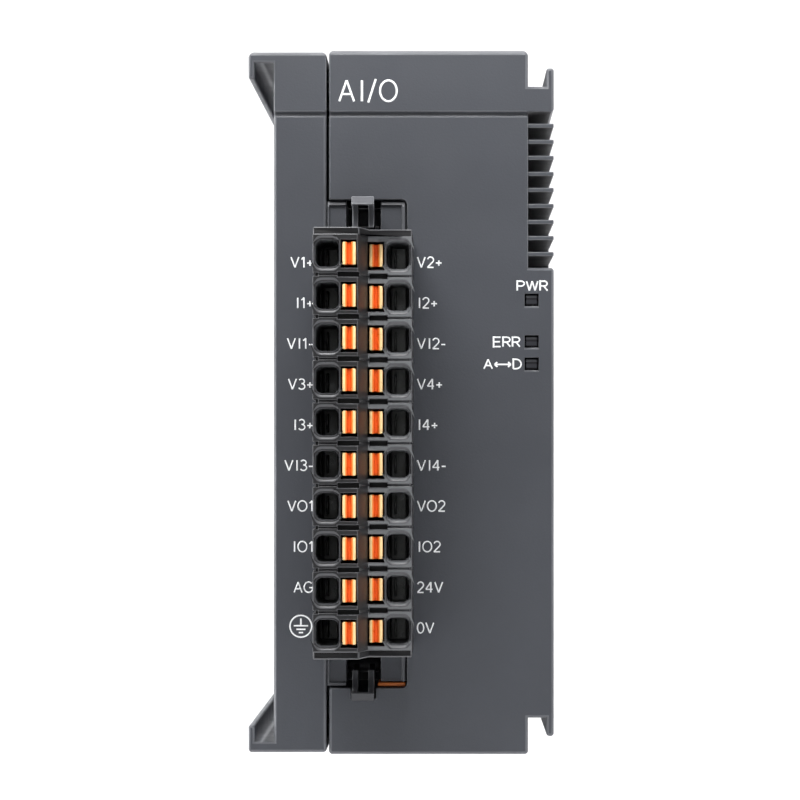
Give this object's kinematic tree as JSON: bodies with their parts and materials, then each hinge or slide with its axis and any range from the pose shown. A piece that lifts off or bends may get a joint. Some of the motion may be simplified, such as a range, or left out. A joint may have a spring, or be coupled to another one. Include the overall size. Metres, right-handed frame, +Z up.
{
  "type": "rail-mounted analogue i/o module",
  "caption": "Slim rail-mounted control module with a pluggable two-column terminal block, push levers, release latches, lamp windows, side louvres and a sprung rail clip.",
  "frame": {"origin": "centre of the flat seat that rests on the front of a 35 mm top-hat rail, midway across the module and midway up it", "axes": "+X to the right seen from the front, +Y to the back, towards the wall, +Z up; the terminals face -Y"},
  "size_m": [0.0381, 0.095, 0.088],
  "materials": {
    "housing_plastic": "fine-grained blue-grey moulded plastic",
    "connector_plastic": "near-black moulded plastic",
    "latch_plastic": "dark grey moulded plastic",
    "orange_plastic": "bright orange moulded plastic",
    "contact_metal": "tin-plated copper alloy",
    "board_laminate": "green solder mask",
    "chip_resin": "black moulding compound",
    "lens_plastic": "smoked clear plastic",
    "label_film": "blank light grey film"
  },
  "bodies": {
    "housing": {"main_case": "housing_plastic", "left_cover": "housing_plastic", "rear_base": "housing_plastic", "earth_contact": "contact_metal", "bus_plug": "connector_plastic", "bus_socket": "connector_plastic", "side_label": "label_film", "terminal_header": "housing_plastic", "coding_strip": "orange_plastic", "pin_row_left": "contact_metal", "pin_row_right": "contact_metal", "circuit_board": "board_laminate", "terminal_board": "board_laminate", "logic_chip": "chip_resin", "isolating_transformer": "chip_resin", "smoothing_capacitor": "chip_resin", "lamp_pipe_power": "lens_plastic", "lamp_power": "lens_plastic", "lamp_pipe_error": "lens_plastic", "lamp_error": "lens_plastic", "lamp_pipe_convert": "lens_plastic", "lamp_convert": "lens_plastic"},
    "terminal_block": {"terminal_block": "connector_plastic", "contact_strip_left": "contact_metal", "contact_strip_right": "contact_metal"},
    "latch_top": {"latch_top": "latch_plastic"},
    "latch_bottom": {"latch_bottom": "latch_plastic"},
    "rail_clip": {"rail_clip": "latch_plastic"},
    "lever_01": {"lever_01": "orange_plastic"},
    "lever_02": {"lever_02": "orange_plastic"},
    "lever_03": {"lever_03": "orange_plastic"},
    "lever_04": {"lever_04": "orange_plastic"},
    "lever_05": {"lever_05": "orange_plastic"},
    "lever_06": {"lever_06": "orange_plastic"},
    "lever_07": {"lever_07": "orange_plastic"},
    "lever_08": {"lever_08": "orange_plastic"},
    "lever_09": {"lever_09": "orange_plastic"},
    "lever_10": {"lever_10": "orange_plastic"},
    "lever_11": {"lever_11": "orange_plastic"},
    "lever_12": {"lever_12": "orange_plastic"},
    "lever_13": {"lever_13": "orange_plastic"},
    "lever_14": {"lever_14": "orange_plastic"},
    "lever_15": {"lever_15": "orange_plastic"},
    "lever_16": {"lever_16": "orange_plastic"},
    "lever_17": {"lever_17": "orange_plastic"},
    "lever_18": {"lever_18": "orange_plastic"},
    "lever_19": {"lever_19": "orange_plastic"},
    "lever_20": {"lever_20": "orange_plastic"}
  },
  "joints": [
    {"name": "block_pull", "type": "slide", "parent": "housing", "child": "terminal_block", "axis": [0, -1, 0], "range_m": [0, 0.014]},
    {"name": "latch_top_swing", "type": "hinge", "parent": "housing", "child": "latch_top", "pos_m": [-0.0063, -0.0603, 0.02165], "axis": [-1, 0, 0], "range_deg": [0, 4], "stiffness_Nm_per_rad": 0.02, "springref_deg": -5.73},
    {"name": "latch_bottom_swing", "type": "hinge", "parent": "housing", "child": "latch_bottom", "pos_m": [-0.0063, -0.0603, -0.0333], "axis": [1, 0, 0], "range_deg": [0, 4], "stiffness_Nm_per_rad": 0.02, "springref_deg": -5.73},
    {"name": "rail_clip_slide", "type": "slide", "parent": "housing", "child": "rail_clip", "axis": [0, 0, -1], "range_m": [0, 0.004], "stiffness_N_per_m": 500, "springref_m": -0.002},
    {"name": "press_01", "type": "slide", "parent": "terminal_block", "child": "lever_01", "axis": [0, 1, 0], "range_m": [0, 0.0012], "stiffness_N_per_m": 100, "springref_m": -0.001},
    {"name": "press_02", "type": "slide", "parent": "terminal_block", "child": "lever_02", "axis": [0, 1, 0], "range_m": [0, 0.0012], "stiffness_N_per_m": 100, "springref_m": -0.001},
    {"name": "press_03", "type": "slide", "parent": "terminal_block", "child": "lever_03", "axis": [0, 1, 0], "range_m": [0, 0.0012], "stiffness_N_per_m": 100, "springref_m": -0.001},
    {"name": "press_04", "type": "slide", "parent": "terminal_block", "child": "lever_04", "axis": [0, 1, 0], "range_m": [0, 0.0012], "stiffness_N_per_m": 100, "springref_m": -0.001},
    {"name": "press_05", "type": "slide", "parent": "terminal_block", "child": "lever_05", "axis": [0, 1, 0], "range_m": [0, 0.0012], "stiffness_N_per_m": 100, "springref_m": -0.001},
    {"name": "press_06", "type": "slide", "parent": "terminal_block", "child": "lever_06", "axis": [0, 1, 0], "range_m": [0, 0.0012], "stiffness_N_per_m": 100, "springref_m": -0.001},
    {"name": "press_07", "type": "slide", "parent": "terminal_block", "child": "lever_07", "axis": [0, 1, 0], "range_m": [0, 0.0012], "stiffness_N_per_m": 100, "springref_m": -0.001},
    {"name": "press_08", "type": "slide", "parent": "terminal_block", "child": "lever_08", "axis": [0, 1, 0], "range_m": [0, 0.0012], "stiffness_N_per_m": 100, "springref_m": -0.001},
    {"name": "press_09", "type": "slide", "parent": "terminal_block", "child": "lever_09", "axis": [0, 1, 0], "range_m": [0, 0.0012], "stiffness_N_per_m": 100, "springref_m": -0.001},
    {"name": "press_10", "type": "slide", "parent": "terminal_block", "child": "lever_10", "axis": [0, 1, 0], "range_m": [0, 0.0012], "stiffness_N_per_m": 100, "springref_m": -0.001},
    {"name": "press_11", "type": "slide", "parent": "terminal_block", "child": "lever_11", "axis": [0, 1, 0], "range_m": [0, 0.0012], "stiffness_N_per_m": 100, "springref_m": -0.001},
    {"name": "press_12", "type": "slide", "parent": "terminal_block", "child": "lever_12", "axis": [0, 1, 0], "range_m": [0, 0.0012], "stiffness_N_per_m": 100, "springref_m": -0.001},
    {"name": "press_13", "type": "slide", "parent": "terminal_block", "child": "lever_13", "axis": [0, 1, 0], "range_m": [0, 0.0012], "stiffness_N_per_m": 100, "springref_m": -0.001},
    {"name": "press_14", "type": "slide", "parent": "terminal_block", "child": "lever_14", "axis": [0, 1, 0], "range_m": [0, 0.0012], "stiffness_N_per_m": 100, "springref_m": -0.001},
    {"name": "press_15", "type": "slide", "parent": "terminal_block", "child": "lever_15", "axis": [0, 1, 0], "range_m": [0, 0.0012], "stiffness_N_per_m": 100, "springref_m": -0.001},
    {"name": "press_16", "type": "slide", "parent": "terminal_block", "child": "lever_16", "axis": [0, 1, 0], "range_m": [0, 0.0012], "stiffness_N_per_m": 100, "springref_m": -0.001},
    {"name": "press_17", "type": "slide", "parent": "terminal_block", "child": "lever_17", "axis": [0, 1, 0], "range_m": [0, 0.0012], "stiffness_N_per_m": 100, "springref_m": -0.001},
    {"name": "press_18", "type": "slide", "parent": "terminal_block", "child": "lever_18", "axis": [0, 1, 0], "range_m": [0, 0.0012], "stiffness_N_per_m": 100, "springref_m": -0.001},
    {"name": "press_19", "type": "slide", "parent": "terminal_block", "child": "lever_19", "axis": [0, 1, 0], "range_m": [0, 0.0012], "stiffness_N_per_m": 100, "springref_m": -0.001},
    {"name": "press_20", "type": "slide", "parent": "terminal_block", "child": "lever_20", "axis": [0, 1, 0], "range_m": [0, 0.0012], "stiffness_N_per_m": 100, "springref_m": -0.001}
  ]
}
